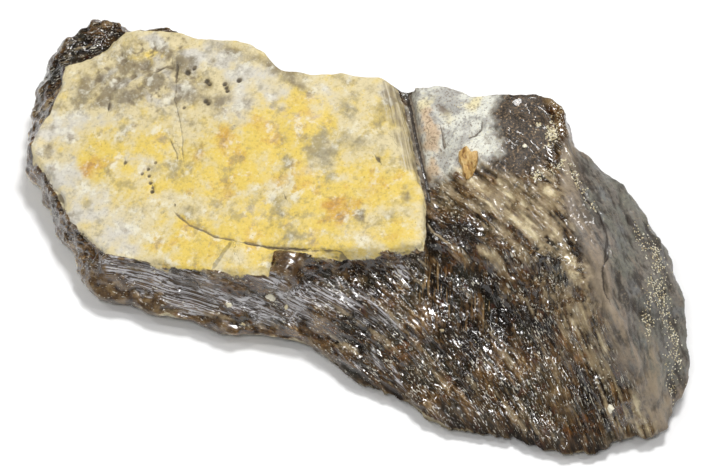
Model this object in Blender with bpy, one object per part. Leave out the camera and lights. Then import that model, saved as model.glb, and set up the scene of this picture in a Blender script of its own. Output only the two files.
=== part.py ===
"""Fossil tyrannosaur bone section: one broken length of limb bone, lying on its broken underside.

The bone is one piece. It is drawn as a surveyor draws ground: lines of points along the rim of the
smooth outer bone, the crack, the crest, the hollow and the foot of the break are joined into
triangles, given the roughness of split bone along its grain, and cut level where it rests.
The survey is in millimetres: x along the bone, y across it, z up from the table.
"""

import math

import bmesh
import bpy
from mathutils import Vector, noise
from mathutils.geometry import delaunay_2d_cdt

MM = 0.001
NODE = "bone_section"
COLOUR = (0.17, 0.12, 0.08, 1.0)

# Foot of the break, anticlockwise from the front left corner: the widest line of the bone
FOOT_FRONT = (
    (-54.0, -3.5, 4.0), (-51.5, -5.0, 3.5), (-48.0, -8.0, 3.0), (-43.5, -12.5, 3.0),
    (-40.5, -14.0, 3.5), (-39.0, -17.0, 3.5), (-36.0, -19.0, 3.5), (-32.0, -20.0, 3.0),
    (-27.5, -19.0, 3.0), (-21.5, -18.5, 3.0), (-12.5, -18.5, 3.0), (-7.5, -17.0, 3.0),
    (-2.0, -15.5, 3.0), (2.0, -16.5, 2.5), (7.0, -18.5, 2.5), (12.0, -19.0, 2.0),
    (16.0, -20.0, 2.0), (20.0, -21.5, 2.0), (23.5, -21.5, 2.0), (27.5, -20.5, 2.0),
    (31.5, -19.5, 2.0), (35.0, -19.5, 2.0), (41.0, -19.0, 2.0), (45.5, -17.0, 2.0),
    (47.5, -14.5, 2.5), (51.5, -11.5, 2.5), (53.5, -9.0, 3.0),
)
FOOT_RIGHT = (
    (53.5, -6.0, 3.0), (54.5, -3.5, 3.5), (54.5, -1.0, 4.5), (53.5, 2.0, 6.5),
    (52.0, 4.0, 8.5), (50.5, 7.5, 11.0), (47.0, 11.5, 12.5), (45.0, 14.5, 13.5),
)
FOOT_BACK = (
    (41.0, 18.0, 11.0), (35.0, 22.0, 9.0), (29.0, 25.5, 8.5), (22.0, 28.0, 8.0),
    (12.0, 27.5, 8.0), (2.0, 26.5, 7.5), (-8.0, 25.5, 7.5), (-18.0, 24.0, 7.0),
    (-27.0, 26.5, 7.5), (-37.0, 26.0, 7.0), (-46.0, 26.0, 7.0),
)
FOOT_LEFT = (
    (-53.5, 24.0, 9.0), (-55.5, 21.5, 9.0), (-56.5, 18.5, 8.5), (-58.5, 14.5, 7.5),
    (-58.0, 11.0, 7.0), (-57.0, 7.0, 6.0), (-57.0, 4.0, 5.5), (-55.0, 1.0, 5.0),
)
FOOT = FOOT_FRONT + FOOT_RIGHT + FOOT_BACK + FOOT_LEFT

# Rim of the smooth outer bone, anticlockwise from the front left corner
RIM_FRONT = (
    (-52.0, -3.0, 9.5), (-49.0, -4.5, 9.0), (-44.5, -8.5, 9.0), (-42.0, -11.0, 9.0),
    (-39.5, -12.5, 9.0), (-34.0, -15.0, 9.5), (-25.5, -14.5, 10.5), (-21.5, -14.0, 11.0),
    (-17.5, -13.5, 12.0), (-9.5, -12.0, 13.0), (-5.5, -11.5, 13.5),
)
RIM_CORNER = (
    (-4.0, -8.0, 15.5), (-1.5, -7.0, 16.5), (0.5, -6.5, 17.0), (5.5, -5.0, 18.0),
    (8.0, -4.0, 19.0), (12.0, -2.5, 20.0),
)
RIM_CRACK = (
    (11.5, -0.5, 20.0), (9.5, 4.0, 21.0), (5.5, 10.0, 21.5), (2.5, 14.5, 22.0),
    (-0.5, 19.0, 22.5), (-2.5, 21.5, 22.5),
)
RIM_BACK = (
    (-4.5, 22.5, 22.5), (-11.0, 21.0, 21.5), (-15.5, 20.0, 21.0), (-19.5, 19.5, 20.5),
    (-23.5, 21.5, 20.5), (-28.0, 23.0, 19.5), (-33.0, 22.0, 19.0), (-42.0, 21.5, 17.5),
    (-46.5, 20.5, 16.0),
)
RIM_LEFT = (
    (-48.0, 18.5, 14.5), (-49.0, 16.0, 14.0), (-51.0, 14.5, 13.0), (-53.5, 13.0, 12.5),
    (-53.0, 9.5, 11.5), (-52.5, 5.0, 10.5), (-53.0, 3.0, 10.5), (-53.0, -1.0, 10.0),
)
RIM = RIM_FRONT + RIM_CORNER + RIM_CRACK + RIM_BACK + RIM_LEFT

# The step round the rim: how wide it is, and how far the bone drops there along each stretch
STEP_WIDTH = 1.1
DROPS = (
    [1.6] * len(RIM_FRONT) + [4.4] * len(RIM_CORNER) + [2.9] * (len(RIM_CRACK) - 1) + [1.2]
    + [3.0] * (len(RIM_BACK) - 1) + [1.4] * (len(RIM_LEFT) + 1)
)

# Right-hand block, beyond the crack, and the grain that slopes down from it
CRACK_FAR = ((1.5, 20.5, 23.5), (5.0, 16.0, 22.5), (8.0, 11.0, 21.0), (10.5, 7.0, 19.5))
BLOCK_BACK = (
    (1.5, 22.0, 23.5), (4.5, 22.5, 24.5), (8.5, 23.0, 25.0), (10.0, 22.0, 25.5),
    (13.5, 23.5, 26.5), (16.5, 24.0, 27.0), (19.0, 25.5, 27.0), (21.5, 25.0, 27.5),
    (24.0, 24.5, 27.5), (25.5, 22.0, 27.0), (26.0, 19.0, 25.5),
)
BLOCK_TOP = ((10.5, 16.5, 24.5), (16.0, 18.5, 26.0), (21.5, 18.5, 26.5), (12.5, 12.0, 23.0))
BLOCK_SIDE = ((27.0, 20.0, 21.5), (26.5, 22.5, 18.0))
GRAIN_SLOPE = (
    (14.5, 8.5, 21.0), (20.5, 12.5, 24.5), (17.0, 4.5, 20.0), (23.0, 6.0, 22.5),
    (28.0, 9.0, 24.5), (28.5, 3.5, 22.0), (33.0, 3.5, 23.5),
)
CREST = (
    (29.0, 15.0, 25.5), (31.0, 11.0, 25.5), (35.0, 6.0, 25.0), (38.5, 1.5, 24.0),
    (41.5, -3.5, 21.5), (45.5, -6.5, 17.5), (48.5, -8.5, 13.0), (50.5, -9.0, 8.0),
)
FLANK_EDGE = (
    (52.0, -1.0, 7.5), (50.5, 2.5, 10.0), (48.5, 6.0, 13.5), (46.0, 10.5, 15.0),
    (43.0, 13.5, 17.0), (40.0, 16.0, 18.5), (37.5, 17.5, 20.0), (33.5, 18.5, 22.0),
    (30.5, 19.5, 23.0), (28.5, 19.5, 24.0),
)

# The deep hollow in front of the block, where the inner bone is laid open
HOLLOW_EDGE = (
    (14.5, 1.0, 17.0), (18.5, 1.0, 18.0), (21.5, 2.0, 19.5), (26.0, 1.0, 19.5),
    (30.0, 1.0, 20.5), (35.0, 0.0, 21.5),
)
HOLLOW = (
    (14.5, -2.5, 14.5), (20.0, -1.5, 14.5), (27.5, -2.5, 14.0), (33.5, -2.5, 16.5),
    (38.5, -5.0, 15.5), (24.5, -5.0, 11.0), (33.5, -7.5, 11.5), (42.0, -8.5, 11.0),
    (45.5, -10.5, 8.5), (40.0, -12.0, 7.5), (30.5, -10.5, 8.0), (47.0, -12.0, 5.0),
    (39.0, -15.5, 4.5), (29.5, -16.0, 5.0),
)

# The rounded shoulder of layered bone under the front of the rim
SHOULDER = (
    (-26.5, -16.5, 6.5), (-18.5, -15.5, 7.0), (-11.0, -14.0, 8.0), (-3.0, -12.5, 10.0),
    (5.5, -11.0, 11.5), (13.0, -10.0, 11.5), (19.5, -10.5, 10.0), (25.5, -13.5, 7.0),
)
FRONT_RUN = ((4.0, -14.5, 7.0), (10.5, -15.5, 6.5), (17.0, -16.5, 5.0), (22.5, -18.5, 4.0))
LEFT_WALL = ((-51.5, 18.5, 13.0), (-55.5, 13.5, 10.0), (-55.0, 6.5, 9.0))

# The hump of dark bone that stands up behind the left end of the rim
HUMP = (
    (-57.0, 15.0, 10.5), (-56.0, 17.0, 12.0), (-55.0, 19.0, 13.0), (-53.0, 21.5, 14.0),
    (-51.5, 22.5, 14.5), (-50.0, 22.5, 15.0), (-48.0, 22.5, 15.5),
)

# Underside: how far in from the foot it turns under, the pads it rests on and the hollows between
UNDERCUT = 1.6
UNDERCUT_PER_RISE = 0.34
UNDERSIDE_RIM = 0.6
UNDERSIDE = (
    (-44.0, 10.0, -0.4), (-34.0, -4.0, -0.4), (-22.0, 8.0, 1.8), (-14.0, -6.0, 0.8),
    (-4.0, 12.0, -0.4), (2.0, -2.0, -0.5), (16.0, 12.0, 1.8), (22.0, -8.0, -0.4),
    (30.0, 12.0, -0.4), (34.0, 0.0, 1.4), (42.0, -8.0, -0.3),
)
REST_SLICE = 0.7

# Height of the smooth outer bone above the table at x = y = 0, and its rise along x and y
OUTER_HEIGHT = 18.3
OUTER_RISE = (0.213, 0.15)

# Grain direction in plan, clockwise from x: at x = 0, and how it turns with each millimetre of x
GRAIN_ANGLE = math.radians(10.0)
GRAIN_TURN = math.radians(0.62)

# Roughness: size of the splinters along the grain, across it and up, and of the lumps and swells
SPLINTER = (17.0, 2.9, 6.0)
SPLINTER_HEIGHT = 0.42
LUMP = 6.5
LUMP_HEIGHT = 0.75
SWELL = 9.0
SWELL_HEIGHT = 0.16
UNDERSIDE_SHARE = 0.7

SKIN_VOXEL = 0.62
TRIANGLES = 9400


def moved_ring(ring, widths):
    """Plan positions of a closed anticlockwise ring's points, each moved outwards by its width."""
    places = [Vector(point[:2]) for point in ring]
    moved = []
    for i, place in enumerate(places):
        before = (place - places[i - 1]).normalized()
        after = (places[(i + 1) % len(places)] - place).normalized()
        along = (before + after).normalized()
        moved.append(place + widths[i] * Vector((along.y, -along.x)))
    return moved


def step_foot():
    """The foot of the step round the rim."""
    places = moved_ring(RIM, [STEP_WIDTH] * len(RIM))
    return [(place.x, place.y, top[2] - drop) for place, top, drop in zip(places, RIM, DROPS)]


def base_ring():
    """The line where the sides turn under, further in where the foot is higher."""
    places = moved_ring(FOOT, [-UNDERCUT - UNDERCUT_PER_RISE * point[2] for point in FOOT])
    return [(place.x, place.y, UNDERSIDE_RIM) for place in places]


def inside(place, ring):
    """Whether a plan position lies in a closed ring."""
    crossings = 0
    for i, a in enumerate(ring):
        b = ring[i - 1]
        if (a[1] > place[1]) != (b[1] > place[1]):
            at = a[0] + (place[1] - a[1]) * (b[0] - a[0]) / (b[1] - a[1])
            crossings += place[0] < at
    return crossings % 2 == 1


def add_sheet(mesh, outline, rings, lines, loose):
    """Joins survey lines into a sheet of triangles inside the outline, and adds it to a bmesh."""
    points = []
    edges = []
    for ring in [outline] + rings:
        start = len(points)
        points += ring
        edges += [(start + i, start + (i + 1) % len(ring)) for i in range(len(ring))]
    for line in lines:
        start = len(points)
        points += line
        edges += [(start + i, start + i + 1) for i in range(len(line) - 1)]
    points += loose
    plan = [Vector(point[:2]) for point in points]
    places, _, faces, sources, _, _ = delaunay_2d_cdt(plan, edges, [], 0, 1e-5)
    made = [mesh.verts.new(Vector(points[source[0]]) * MM) for source in sources]
    for face in faces:
        middle = sum((places[i] for i in face), Vector((0.0, 0.0))) / len(face)
        if inside(middle, outline):
            mesh.faces.new([made[i] for i in face])


def smooth_step(low, high, value):
    """0 below low, 1 above high, eased between."""
    t = min(1.0, max(0.0, (value - low) / (high - low)))
    return t * t * (3.0 - 2.0 * t)


def along_grain(point):
    """A point measured in the bone's grain: along it, across it and up."""
    turn = GRAIN_ANGLE + GRAIN_TURN * point.x
    bend = math.log(math.cos(turn)) / GRAIN_TURN
    return Vector((point.x, point.y - bend, point.z))


def roughness(point, normal):
    """How far the real surface stands proud of the survey, all in millimetres."""
    above = point.z - OUTER_HEIGHT - OUTER_RISE[0] * point.x - OUTER_RISE[1] * point.y
    outer = smooth_step(-1.6, -0.4, above) * smooth_step(0.75, 0.93, normal.z)
    outer *= 1.0 - smooth_step(6.0, 12.0, point.x + 0.6 * point.y)
    grain = along_grain(point)
    stretched = Vector(grain[k] / SPLINTER[k] for k in range(3))
    splinters = noise.ridged_multi_fractal(stretched, 1.0, 2.1, 3, 0.9, 2.0) - 1.2
    lumps = noise.fractal(point / LUMP, 1.0, 2.0, 3)
    broken = SPLINTER_HEIGHT * splinters + LUMP_HEIGHT * lumps
    broken *= 1.0 - (1.0 - UNDERSIDE_SHARE) * smooth_step(0.3, 0.8, -normal.z)
    swell = SWELL_HEIGHT * noise.fractal(point / SWELL, 1.0, 2.0, 2)
    return outer * swell + (1.0 - outer) * broken


def surveyed_bone():
    """The bone in flat facets: a closed object made of the top sheet and the underside sheet."""
    mesh = bmesh.new()
    lines = [CRACK_FAR, BLOCK_BACK, CREST, FLANK_EDGE, HOLLOW_EDGE, SHOULDER, FRONT_RUN, HUMP]
    loose = BLOCK_TOP + BLOCK_SIDE + GRAIN_SLOPE + HOLLOW + LEFT_WALL
    add_sheet(mesh, FOOT, [RIM, step_foot()], lines, loose)
    add_sheet(mesh, FOOT, [base_ring()], [], UNDERSIDE)
    bmesh.ops.remove_doubles(mesh, verts=mesh.verts, dist=1e-3 * MM)
    bmesh.ops.recalc_face_normals(mesh, faces=mesh.faces)
    data = bpy.data.meshes.new(NODE)
    mesh.to_mesh(data)
    mesh.free()
    bone = bpy.data.objects.new(NODE, data)
    bpy.context.scene.collection.objects.link(bone)
    return bone


def apply_modifiers(bone):
    """Turns what an object's modifiers make into its own mesh."""
    graph = bpy.context.evaluated_depsgraph_get()
    done = bpy.data.meshes.new_from_object(bone.evaluated_get(graph))
    bone.modifiers.clear()
    bone.data = done


def roughen(bone):
    """Covers the facets with an even skin of small quads, and gives that the roughness of bone."""
    skin = bone.modifiers.new("even_skin", "REMESH")
    skin.mode = "VOXEL"
    skin.voxel_size = SKIN_VOXEL * MM
    apply_modifiers(bone)
    mesh = bmesh.new()
    mesh.from_mesh(bone.data)
    bmesh.ops.smooth_vert(
        mesh, verts=mesh.verts, factor=0.5, use_axis_x=True, use_axis_y=True, use_axis_z=True
    )
    mesh.normal_update()
    moves = [vert.normal * roughness(vert.co / MM, vert.normal) * MM for vert in mesh.verts]
    for vert, move in zip(mesh.verts, moves):
        vert.co += move
    mesh.to_mesh(bone.data)
    mesh.free()
    thin = bone.modifiers.new("fewer_faces", "DECIMATE")
    thin.ratio = TRIANGLES / (2.0 * len(bone.data.polygons))
    apply_modifiers(bone)


def lay_down(bone):
    """Cuts the underside level where it rests, and centres the bone over its origin."""
    mesh = bmesh.new()
    mesh.from_mesh(bone.data)
    level = min(vert.co.z for vert in mesh.verts) + REST_SLICE * MM
    cut = bmesh.ops.bisect_plane(
        mesh,
        geom=mesh.verts[:] + mesh.edges[:] + mesh.faces[:],
        dist=1e-4 * MM,
        plane_co=(0.0, 0.0, level),
        plane_no=(0.0, 0.0, -1.0),
        clear_outer=True,
    )
    rims = [item for item in cut["geom_cut"] if isinstance(item, bmesh.types.BMEdge)]
    bmesh.ops.triangle_fill(mesh, edges=rims, use_beauty=True, normal=(0.0, 0.0, -1.0))
    bmesh.ops.recalc_face_normals(mesh, faces=mesh.faces)
    low = Vector(min(vert.co[k] for vert in mesh.verts) for k in range(3))
    high = Vector(max(vert.co[k] for vert in mesh.verts) for k in range(3))
    shift = Vector((-(low.x + high.x) / 2.0, -(low.y + high.y) / 2.0, -low.z))
    bmesh.ops.translate(mesh, verts=mesh.verts, vec=shift)
    mesh.to_mesh(bone.data)
    mesh.free()
    print("survey moved by", shift / MM, "mm, box", (high - low) / MM, "mm")


def add_colour(bone):
    """Gives the bone its material."""
    stone = bpy.data.materials.new("fossil_bone")
    stone.use_nodes = True
    shader = stone.node_tree.nodes["Principled BSDF"]
    shader.inputs["Base Color"].default_value = COLOUR
    shader.inputs["Roughness"].default_value = 0.35
    shader.inputs["Metallic"].default_value = 0.0
    bone.data.materials.append(stone)


def main():
    for thing in list(bpy.data.objects):
        bpy.data.objects.remove(thing)
    bone = surveyed_bone()
    roughen(bone)
    lay_down(bone)
    add_colour(bone)


main()
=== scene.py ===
"""Looks of the fossil bone section.

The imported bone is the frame. One fine skin of the same form stands for it: it carries the splinters,
cracks and pits as real relief, and fields that say where each kind of bone lies. Grains of sand and
one flake of ochre matrix stick to it. Places are in millimetres, x along the bone, y across it and
z up from the table, measured from the layout's origin, which lies close to the bone's own.
"""

import logging
import math
from dataclasses import dataclass, field
from enum import Enum

import bmesh
import bpy
import numpy as np
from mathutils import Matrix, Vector, noise
from mathutils.bvhtree import BVHTree


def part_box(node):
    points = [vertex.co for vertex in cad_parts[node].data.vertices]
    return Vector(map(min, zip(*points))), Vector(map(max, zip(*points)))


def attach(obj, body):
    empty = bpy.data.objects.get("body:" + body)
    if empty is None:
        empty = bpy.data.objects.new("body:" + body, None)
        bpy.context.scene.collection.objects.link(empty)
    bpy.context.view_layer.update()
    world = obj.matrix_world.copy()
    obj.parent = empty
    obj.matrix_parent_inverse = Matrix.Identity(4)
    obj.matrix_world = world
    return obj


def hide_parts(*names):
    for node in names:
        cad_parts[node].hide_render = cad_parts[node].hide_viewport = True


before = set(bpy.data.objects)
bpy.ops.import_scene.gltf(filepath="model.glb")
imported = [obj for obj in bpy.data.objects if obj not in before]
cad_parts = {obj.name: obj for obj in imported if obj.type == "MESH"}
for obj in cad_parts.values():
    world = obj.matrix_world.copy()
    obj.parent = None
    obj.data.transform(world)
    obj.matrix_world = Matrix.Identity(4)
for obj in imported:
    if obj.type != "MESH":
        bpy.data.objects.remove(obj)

log = logging.getLogger("fossil_bone")

MM = 0.001
NODE = "bone_section"
LAYOUT_ORIGIN = (-0.47, 0.01, 0.0)
FAR = 1e9
SKY = 60.0
Place = tuple[float, float]
Place3 = tuple[float, float, float]
Socket = bpy.types.NodeSocket


def shade(red: int, green: int, blue: int) -> tuple[float, float, float, float]:
    """Linear colour of a shade named by its three display values, 0 to 255.

    Args:
        red: red of the display colour.
        green: green of the display colour.
        blue: blue of the display colour.

    Returns:
        Red, green, blue and an alpha of 1, as a shader socket takes them.
    """
    linear = [((v / 255 + 0.055) / 1.055) ** 2.4 if v > 10 else v / 255 / 12.92 for v in (red, green, blue)]
    return (linear[0], linear[1], linear[2], 1.0)


def eased(low: float, high: float, values: np.ndarray) -> np.ndarray:
    """0 below low, 1 above high, eased between; low may be the higher one.

    Args:
        low: value that gives 0.
        high: value that gives 1.
        values: values to ease.

    Returns:
        Values between 0 and 1.
    """
    t = np.clip((values - low) / (high - low), 0.0, 1.0)
    return t * t * (3.0 - 2.0 * t)


def rough_field(points: np.ndarray, octaves: int) -> np.ndarray:
    """Fractal noise at each point, about -1 to 1.

    Args:
        points: places, one row each, already divided by the size of the lumps.
        octaves: how many finer layers are added.

    Returns:
        One value for each point.
    """
    return np.array([noise.fractal(p, 1.0, 2.0, octaves) for p in points.tolist()])


def ridged_field(points: np.ndarray, octaves: int) -> np.ndarray:
    """Ridged noise at each point, with sharp crests: about -1 to 1.

    Args:
        points: places, one row each, already divided by the size of the ridges.
        octaves: how many finer layers are added.

    Returns:
        One value for each point.
    """
    values = [noise.ridged_multi_fractal(p, 1.0, 2.1, octaves, 0.9, 2.0) for p in points.tolist()]
    return np.array(values) - 1.2


def chip_field(points: np.ndarray) -> np.ndarray:
    """Height of flat chips of random depth, one for each cell: about -1 to 1.

    Args:
        points: places, one row each, already divided by the size of a chip.

    Returns:
        One value for each point.
    """
    heights = []
    for point in points.tolist():
        distances, centres = noise.voronoi(point)
        lie = Vector(point) - centres[0]
        tilt = noise.cell_vector(centres[0] * 7.0)
        edge = min(1.0, (distances[1] - distances[0]) * 4.0)
        heights.append(edge * (tilt.x - 0.5 + 0.9 * lie.dot(tilt - Vector((0.5, 0.5, 0.5)))))
    return np.array(heights)


def beside(points: np.ndarray, a: Place, b: Place) -> tuple[np.ndarray, np.ndarray, np.ndarray]:
    """How places lie by a straight segment in plan.

    Args:
        points: places, one row each.
        a: start of the segment.
        b: end of the segment.

    Returns:
        Distances to it, shares along it from 0 to 1, and values that are positive to its left.
    """
    x, y = points[:, 0] - a[0], points[:, 1] - a[1]
    run, rise = b[0] - a[0], b[1] - a[1]
    t = np.clip((x * run + y * rise) / (run**2 + rise**2), 0.0, 1.0)
    return np.hypot(x - t * run, y - t * rise), t, run * y - rise * x


def outline_distance(points: np.ndarray, outline: tuple[Place, ...]) -> np.ndarray:
    """Distance in plan to a closed outline, positive inside it.

    Args:
        points: places, one row each.
        outline: corners of the outline, in order.

    Returns:
        One distance for each point, in millimetres.
    """
    nearest = np.full(len(points), FAR)
    within = np.zeros(len(points), bool)
    for a, b in zip(outline, outline[1:] + outline[:1]):
        away, _, side = beside(points, a, b)
        nearest = np.minimum(nearest, away)
        crosses = (a[1] > points[:, 1]) != (b[1] > points[:, 1])
        within ^= crosses & (side * (b[1] - a[1]) > 0.0)
    return np.where(within, nearest, -nearest)


def line_offset(points: np.ndarray, line: tuple[Place, ...]) -> tuple[np.ndarray, np.ndarray]:
    """Signed distance in plan to an open line, and how far along the line the nearest place is.

    Args:
        points: places, one row each.
        line: points of the line, in order.

    Returns:
        Distances, positive to the left of the line, and shares of its length from 0 to 1.
    """
    steps = [math.dist(a, b) for a, b in zip(line, line[1:])]
    nearest = np.full(len(points), FAR)
    along = np.zeros(len(points))
    done = 0.0
    for a, b, step in zip(line, line[1:], steps):
        away, t, side = beside(points, a, b)
        closer = away < np.abs(nearest)
        nearest = np.where(closer, np.where(side >= 0.0, away, -away), nearest)
        along = np.where(closer, (done + t * step) / sum(steps), along)
        done += step
    return nearest, along


def piece_from(mesh: bmesh.types.BMesh, name: str) -> bpy.types.Object:
    """Puts a mesh into the scene as an object of its own, and frees it.

    Args:
        mesh: the mesh being built.
        name: name of the object and its mesh.

    Returns:
        The new object.
    """
    data = bpy.data.meshes.new(name)
    mesh.to_mesh(data)
    mesh.free()
    piece = bpy.data.objects.new(name, data)
    bpy.context.scene.collection.objects.link(piece)
    return piece


def ground_below(ground: BVHTree, place: Place) -> tuple[Vector, Vector]:
    """The bone's upper surface below a place in plan.

    Args:
        ground: the bone's surface.
        place: the place in plan, in the layout's millimetres.

    Returns:
        The spot on the bone, in metres, and its normal; both are None beside the bone.
    """
    above = Vector((place[0] + LAYOUT_ORIGIN[0], place[1] + LAYOUT_ORIGIN[1], SKY)) * MM
    return ground.ray_cast(above, Vector((0.0, 0.0, -1.0)))[:2]


@dataclass(frozen=True)
class Grain:
    """The way the bone's fibres run: they turn along the bone, and plunge towards its right end."""

    angle: float = math.radians(10.0)
    turn: float = math.radians(0.62)
    centre: float = 2.5
    plunge: float = 0.5
    plunge_start: float = 11.0
    end_plunge: float = 0.8
    end_start: float = 41.0
    ease: float = 4.5

    def coordinates(self, points: np.ndarray) -> np.ndarray:
        """Places measured in the grain.

        Args:
            points: places in the bone's frame, one row each.

        Returns:
            Distance along the fibres, across them and up through them, one row for each point.
        """
        x, y, z = points.T
        bend = np.log(np.cos(self.angle + self.turn * (x - self.centre))) / self.turn
        front = eased(2.0, -8.0, y)
        dip = self.plunge * self.ease * np.log1p(np.exp((x - self.plunge_start) / self.ease)) * front
        dip += self.end_plunge * self.ease * np.log1p(np.exp((x - self.end_start) / self.ease))
        return np.stack([x, y - bend, z + dip], axis=1)


@dataclass(frozen=True)
class Crack:
    """A crack in the bone: its line in plan, its half width, its depth and how dark it is."""

    line: tuple[Place, ...]
    half_width: float
    depth: float
    tone: float = 0.8
    fade: float = 0.12

    def strength(self, along: np.ndarray) -> np.ndarray:
        """How open the crack is at a share of its length: it closes towards its ends."""
        return eased(0.0, self.fade, along) * eased(1.0, 1.0 - self.fade, along)


class Tint(Enum):
    """Local stains and finishes, each a field on the skin; the black field also carries painted shade by the
    table and under the plateau's overhang, and the glint field also sets where glints are painted.
    """

    YELLOW = "yellow"
    ORANGE = "orange"
    PALE = "pale"
    GREY = "grey"
    TAUPE = "taupe"
    GOLD = "gold"
    SILVER = "silver"
    AMBER = "amber"
    BLACK = "black"
    GLINT = "glint"
    RESIN = "resin"
    STRIP = "strip"


@dataclass(frozen=True)
class Stain:
    """A soft oval stain: its middle and half length in plan, and its length over its width."""

    place: Place
    radius: float
    strength: float = 1.0
    stretch: float = 1.0
    turn: float = 0.0

    def share(self, points: np.ndarray, drift: np.ndarray) -> np.ndarray:
        """How strongly the stain shows at each place.

        Args:
            points: places, one row each.
            drift: for each place, how far the stain's edge strays in x and y, about -1 to 1.

        Returns:
            Values from 0 to the stain's strength.
        """
        stray = 0.6 * self.radius / self.stretch
        x = points[:, 0] - self.place[0] + stray * drift[:, 0]
        y = points[:, 1] - self.place[1] + stray * drift[:, 1]
        angle = math.radians(self.turn)
        along = x * math.cos(angle) + y * math.sin(angle)
        across = y * math.cos(angle) - x * math.sin(angle)
        away = np.hypot(along, across * self.stretch) / self.radius
        return self.strength * np.exp(-(away**2))


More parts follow.
